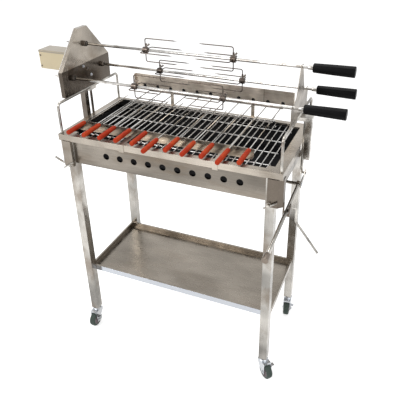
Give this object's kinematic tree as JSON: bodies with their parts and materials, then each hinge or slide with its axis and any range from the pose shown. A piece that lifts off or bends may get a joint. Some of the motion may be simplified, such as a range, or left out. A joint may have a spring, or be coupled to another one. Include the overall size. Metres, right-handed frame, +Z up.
{
  "type": "rotisserie spit roaster",
  "caption": "Charcoal rotisserie cart: geared spits over a stainless firebox, lever lift, hand skewers, warming rack, shelf and braked casters.",
  "frame": {"origin": "on the floor, under the middle of the bounding box", "axes": "+X to the spit handles, -Y to the cook at the front, +Z up"},
  "size_m": [1.2024, 0.6456, 1.283],
  "materials": {
    "brushed_stainless": "brushed",
    "polished_stainless": "satin, drawn tube and rod",
    "spit_steel": "satin",
    "gear_steel": "machined, lightly greased",
    "black_grip": "semi-gloss heatproof plastic",
    "cream_paint": "smooth satin paint",
    "red_wood": "turned hardwood, red lacquer",
    "grey_rubber": "matt",
    "zinc_plate": "bright zinc plate",
    "grate_steel": "drawn wire",
    "tray_steel": "dull sheet"
  },
  "bodies": {
    "frame": {"legs": "polished_stainless", "firebox": "brushed_stainless", "firebox_rim": "brushed_stainless", "corner_guides": "brushed_stainless", "storage_shelf": "brushed_stainless", "charcoal_tray": "tray_steel", "grill_grate": "grate_steel", "skewer_rests": "brushed_stainless", "windshield": "brushed_stainless", "warming_rack": "grate_steel", "clamp_screws": "zinc_plate"},
    "lift_lever": {"lift_shaft": "polished_stainless", "lift_lever": "polished_stainless"},
    "lift_left": {"lift_frame_left": "polished_stainless", "gear_plate": "brushed_stainless", "gear_cover": "brushed_stainless", "motor_housing": "cream_paint"},
    "lift_right": {"lift_frame_right": "polished_stainless", "spit_support": "brushed_stainless"},
    "drive": {"drive_gear": "gear_steel"},
    "spit_top": {"spit_top": "spit_steel", "spit_gear_top": "gear_steel", "spit_handle_top": "black_grip"},
    "fork_top_left": {"fork_top_left": "spit_steel"},
    "fork_top_right": {"fork_top_right": "spit_steel"},
    "spit_rear": {"spit_rear": "spit_steel", "spit_gear_rear": "gear_steel", "spit_handle_rear": "black_grip"},
    "fork_rear_left": {"fork_rear_left": "spit_steel"},
    "fork_rear_right": {"fork_rear_right": "spit_steel"},
    "spit_front": {"spit_front": "spit_steel", "spit_gear_front": "gear_steel", "spit_handle_front": "black_grip"},
    "fork_front_left": {"fork_front_left": "spit_steel"},
    "fork_front_right": {"fork_front_right": "spit_steel"},
    "hand_skewer_1": {"hand_skewer_1": "red_wood"},
    "hand_skewer_2": {"hand_skewer_2": "red_wood"},
    "hand_skewer_3": {"hand_skewer_3": "red_wood"},
    "hand_skewer_4": {"hand_skewer_4": "red_wood"},
    "hand_skewer_5": {"hand_skewer_5": "red_wood"},
    "hand_skewer_6": {"hand_skewer_6": "red_wood"},
    "hand_skewer_7": {"hand_skewer_7": "red_wood"},
    "hand_skewer_8": {"hand_skewer_8": "red_wood"},
    "hand_skewer_9": {"hand_skewer_9": "red_wood"},
    "hand_skewer_10": {"hand_skewer_10": "red_wood"},
    "hand_skewer_11": {"hand_skewer_11": "red_wood"},
    "caster_front_left": {"caster_fork_front_left": "zinc_plate"},
    "wheel_front_left": {"caster_wheel_front_left": "grey_rubber"},
    "brake_front_left": {"caster_brake_front_left": "zinc_plate"},
    "caster_front_right": {"caster_fork_front_right": "zinc_plate"},
    "wheel_front_right": {"caster_wheel_front_right": "grey_rubber"},
    "brake_front_right": {"caster_brake_front_right": "zinc_plate"},
    "caster_rear_left": {"caster_fork_rear_left": "zinc_plate"},
    "wheel_rear_left": {"caster_wheel_rear_left": "grey_rubber"},
    "brake_rear_left": {"caster_brake_rear_left": "zinc_plate"},
    "caster_rear_right": {"caster_fork_rear_right": "zinc_plate"},
    "wheel_rear_right": {"caster_wheel_rear_right": "grey_rubber"},
    "brake_rear_right": {"caster_brake_rear_right": "zinc_plate"},
    "lock_pin_right": {"lock_pin_right": "polished_stainless"},
    "lock_pin_left": {"lock_pin_left": "polished_stainless"}
  },
  "joints": [
    {"name": "lever_lift", "type": "hinge", "parent": "frame", "child": "lift_lever", "pos_m": [0.01125, 0.07982, 0.806], "axis": [-1, 0, 0], "range_deg": [0, 35]},
    {"name": "lift_slide_left", "type": "slide", "parent": "frame", "child": "lift_left", "axis": [0, 0, 1], "range_m": [-0.0381, 0]},
    {"name": "lift_slide_right", "type": "slide", "parent": "frame", "child": "lift_right", "axis": [0, 0, 1], "range_m": [-0.0381, 0]},
    {"name": "drive_spin", "type": "hinge", "parent": "lift_left", "child": "drive", "pos_m": [-0.41675, 0.10982, 1.1245], "axis": [1, 0, 0], "continuous": true},
    {"name": "spit_top_spin", "type": "hinge", "parent": "lift_left", "child": "spit_top", "pos_m": [0.01125, 0.10982, 1.222], "axis": [1, 0, 0], "continuous": true},
    {"name": "fork_top_left_slide", "type": "slide", "parent": "spit_top", "child": "fork_top_left", "axis": [1, 0, 0], "range_m": [-0.18, 0.025]},
    {"name": "fork_top_right_slide", "type": "slide", "parent": "spit_top", "child": "fork_top_right", "axis": [1, 0, 0], "range_m": [-0.025, 0.18]},
    {"name": "spit_rear_spin", "type": "hinge", "parent": "lift_left", "child": "spit_rear", "pos_m": [0.01125, 0.20695, 1.116], "axis": [1, 0, 0], "continuous": true},
    {"name": "fork_rear_left_slide", "type": "slide", "parent": "spit_rear", "child": "fork_rear_left", "axis": [1, 0, 0], "range_m": [-0.18, 0.025]},
    {"name": "fork_rear_right_slide", "type": "slide", "parent": "spit_rear", "child": "fork_rear_right", "axis": [1, 0, 0], "range_m": [-0.025, 0.18]},
    {"name": "spit_front_spin", "type": "hinge", "parent": "lift_left", "child": "spit_front", "pos_m": [0.01125, 0.01269, 1.116], "axis": [1, 0, 0], "continuous": true},
    {"name": "fork_front_left_slide", "type": "slide", "parent": "spit_front", "child": "fork_front_left", "axis": [1, 0, 0], "range_m": [-0.18, 0.025]},
    {"name": "fork_front_right_slide", "type": "slide", "parent": "spit_front", "child": "fork_front_right", "axis": [1, 0, 0], "range_m": [-0.025, 0.18]},
    {"name": "hand_skewer_1_turn", "type": "hinge", "parent": "frame", "child": "hand_skewer_1", "pos_m": [-0.36475, 0.10982, 0.951], "axis": [0, 1, 0], "continuous": true},
    {"name": "hand_skewer_2_turn", "type": "hinge", "parent": "frame", "child": "hand_skewer_2", "pos_m": [-0.29875, 0.10982, 0.951], "axis": [0, 1, 0], "continuous": true},
    {"name": "hand_skewer_3_turn", "type": "hinge", "parent": "frame", "child": "hand_skewer_3", "pos_m": [-0.23275, 0.10982, 0.951], "axis": [0, 1, 0], "continuous": true},
    {"name": "hand_skewer_4_turn", "type": "hinge", "parent": "frame", "child": "hand_skewer_4", "pos_m": [-0.16675, 0.10982, 0.951], "axis": [0, 1, 0], "continuous": true},
    {"name": "hand_skewer_5_turn", "type": "hinge", "parent": "frame", "child": "hand_skewer_5", "pos_m": [-0.10075, 0.10982, 0.951], "axis": [0, 1, 0], "continuous": true},
    {"name": "hand_skewer_6_turn", "type": "hinge", "parent": "frame", "child": "hand_skewer_6", "pos_m": [-0.03475, 0.10982, 0.951], "axis": [0, 1, 0], "continuous": true},
    {"name": "hand_skewer_7_turn", "type": "hinge", "parent": "frame", "child": "hand_skewer_7", "pos_m": [0.03125, 0.10982, 0.951], "axis": [0, 1, 0], "continuous": true},
    {"name": "hand_skewer_8_turn", "type": "hinge", "parent": "frame", "child": "hand_skewer_8", "pos_m": [0.09725, 0.10982, 0.951], "axis": [0, 1, 0], "continuous": true},
    {"name": "hand_skewer_9_turn", "type": "hinge", "parent": "frame", "child": "hand_skewer_9", "pos_m": [0.16325, 0.10982, 0.951], "axis": [0, 1, 0], "continuous": true},
    {"name": "hand_skewer_10_turn", "type": "hinge", "parent": "frame", "child": "hand_skewer_10", "pos_m": [0.22925, 0.10982, 0.951], "axis": [0, 1, 0], "continuous": true},
    {"name": "hand_skewer_11_turn", "type": "hinge", "parent": "frame", "child": "hand_skewer_11", "pos_m": [0.29525, 0.10982, 0.951], "axis": [0, 1, 0], "continuous": true},
    {"name": "caster_swivel_front_left", "type": "hinge", "parent": "frame", "child": "caster_front_left", "pos_m": [-0.37775, -0.07918, 0.08], "axis": [0, 0, 1], "continuous": true},
    {"name": "wheel_spin_front_left", "type": "hinge", "parent": "caster_front_left", "child": "wheel_front_left", "pos_m": [-0.37775, -0.10118, 0.0325], "axis": [1, 0, 0], "continuous": true},
    {"name": "brake_tilt_front_left", "type": "hinge", "parent": "caster_front_left", "child": "brake_front_left", "pos_m": [-0.37775, -0.10118, 0.0325], "axis": [1, 0, 0], "range_deg": [0, 30]},
    {"name": "caster_swivel_front_right", "type": "hinge", "parent": "frame", "child": "caster_front_right", "pos_m": [0.40025, -0.07918, 0.08], "axis": [0, 0, 1], "continuous": true},
    {"name": "wheel_spin_front_right", "type": "hinge", "parent": "caster_front_right", "child": "wheel_front_right", "pos_m": [0.4171, -0.09332, 0.0325], "axis": [0.6428, 0.766, 0], "continuous": true},
    {"name": "brake_tilt_front_right", "type": "hinge", "parent": "caster_front_right", "child": "brake_front_right", "pos_m": [0.4171, -0.09332, 0.0325], "axis": [0.6428, 0.766, 0], "range_deg": [0, 30]},
    {"name": "caster_swivel_rear_left", "type": "hinge", "parent": "frame", "child": "caster_rear_left", "pos_m": [-0.37775, 0.29882, 0.08], "axis": [0, 0, 1], "continuous": true},
    {"name": "wheel_spin_rear_left", "type": "hinge", "parent": "caster_rear_left", "child": "wheel_rear_left", "pos_m": [-0.36742, 0.2794, 0.0325], "axis": [0.8829, 0.4695, 0], "continuous": true},
    {"name": "brake_tilt_rear_left", "type": "hinge", "parent": "caster_rear_left", "child": "brake_rear_left", "pos_m": [-0.36742, 0.2794, 0.0325], "axis": [0.8829, 0.4695, 0], "range_deg": [0, 30]},
    {"name": "caster_swivel_rear_right", "type": "hinge", "parent": "frame", "child": "caster_rear_right", "pos_m": [0.40025, 0.29882, 0.08], "axis": [0, 0, 1], "continuous": true},
    {"name": "wheel_spin_rear_right", "type": "hinge", "parent": "caster_rear_right", "child": "wheel_rear_right", "pos_m": [0.40255, 0.27694, 0.0325], "axis": [0.9945, 0.1045, 0], "continuous": true},
    {"name": "brake_tilt_rear_right", "type": "hinge", "parent": "caster_rear_right", "child": "brake_rear_right", "pos_m": [0.40255, 0.27694, 0.0325], "axis": [0.9945, 0.1045, 0], "range_deg": [0, 30]},
    {"name": "lock_slide_right", "type": "slide", "parent": "frame", "child": "lock_pin_right", "axis": [1, 0, 0], "range_m": [-0.009, 0]},
    {"name": "lock_slide_left", "type": "slide", "parent": "frame", "child": "lock_pin_left", "axis": [-1, 0, 0], "range_m": [-0.005, 0.006]}
  ],
  "couplings": [
    {"joint": "lift_slide_left", "follows": "lever_lift", "m_per_rad": -0.062043},
    {"joint": "lift_slide_right", "follows": "lever_lift", "m_per_rad": -0.062043},
    {"joint": "spit_top_spin", "follows": "drive_spin", "ratio": -1.0526},
    {"joint": "spit_rear_spin", "follows": "drive_spin", "ratio": -1.0526},
    {"joint": "spit_front_spin", "follows": "drive_spin", "ratio": -1.0526}
  ]
}
